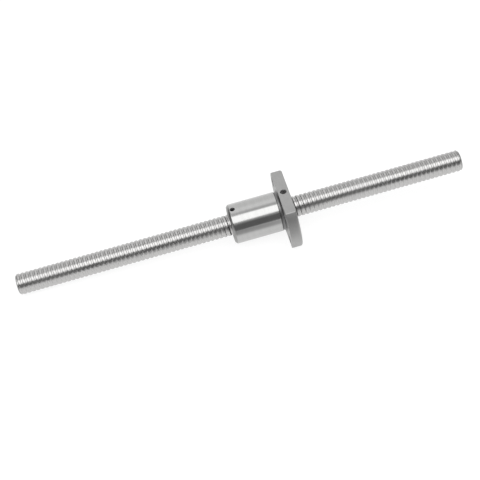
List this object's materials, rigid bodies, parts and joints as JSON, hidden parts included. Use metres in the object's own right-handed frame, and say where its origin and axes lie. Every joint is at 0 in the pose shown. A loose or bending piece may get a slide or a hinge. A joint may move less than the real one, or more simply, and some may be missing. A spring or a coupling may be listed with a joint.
{
  "type": "ball screw",
  "caption": "Straight steel ball screw with a flanged ball nut that travels along it as it turns, to move a carriage or table.",
  "frame": {"origin": "on the screw's axis, in the plane of the flange's mounting face, at the centre of its four holes", "axes": "+X along the screw, from the nut's body towards its flange; +Z is the normal of the upper flange flat; +Y is along the flange's long side"},
  "size_m": [0.204, 0.035, 0.022],
  "materials": {
    "screw_steel": "ground",
    "nut_steel": "fine ground",
    "ball_steel": "polished",
    "deflector_steel": "sintered",
    "wiper_plastic": "matt",
    "set_screw_steel": "black oxide"
  },
  "bodies": {
    "screw": {"screw_shaft": "screw_steel"},
    "wipers": {"end_wiper": "wiper_plastic", "flange_wiper": "wiper_plastic"},
    "nut": {"nut_body": "nut_steel", "wiper_screw": "set_screw_steel", "return_deflector_1": "deflector_steel", "return_deflector_2": "deflector_steel", "return_deflector_3": "deflector_steel", "ball_circuit_1": "ball_steel", "ball_circuit_2": "ball_steel", "ball_circuit_3": "ball_steel"}
  },
  "joints": [
    {"name": "nut_travel", "type": "slide", "parent": "screw", "child": "wipers", "axis": [1, 0, 0], "range_m": [-0.0961, 0.0761]},
    {"name": "nut_turn", "type": "hinge", "parent": "wipers", "child": "nut", "pos_m": [0, 0, 0], "axis": [1, 0, 0], "range_deg": [-17280, 13680]}
  ],
  "couplings": [
    {"joint": "nut_travel", "follows": "nut_turn", "m_per_rad": 0.00031831}
  ]
}
